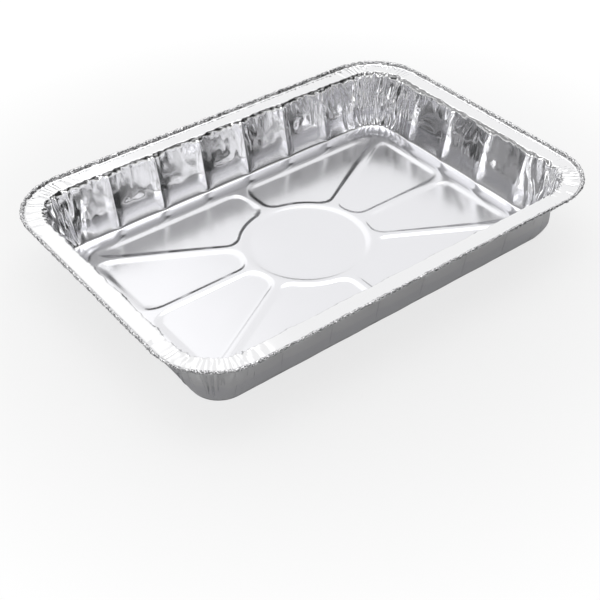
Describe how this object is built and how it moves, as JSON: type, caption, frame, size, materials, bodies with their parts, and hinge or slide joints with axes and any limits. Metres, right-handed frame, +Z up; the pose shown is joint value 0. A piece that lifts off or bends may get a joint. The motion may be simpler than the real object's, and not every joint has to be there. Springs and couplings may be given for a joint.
{
  "type": "aluminium foil tray",
  "caption": "Rectangular aluminium foil tray with ribbed walls, gathered corners, a flat flange ending in a rolled bead, and an embossed floor.",
  "frame": {"origin": "under the middle of the floor, on the surface that the tray stands on", "axes": "+X along the tray's long side, +Y along its short side, +Z up out of the opening"},
  "size_m": [0.219, 0.155, 0.03],
  "materials": {
    "foil": "bright rolled foil"
  },
  "bodies": {
    "root": {"foil_tray": "foil"}
  },
  "joints": []
}
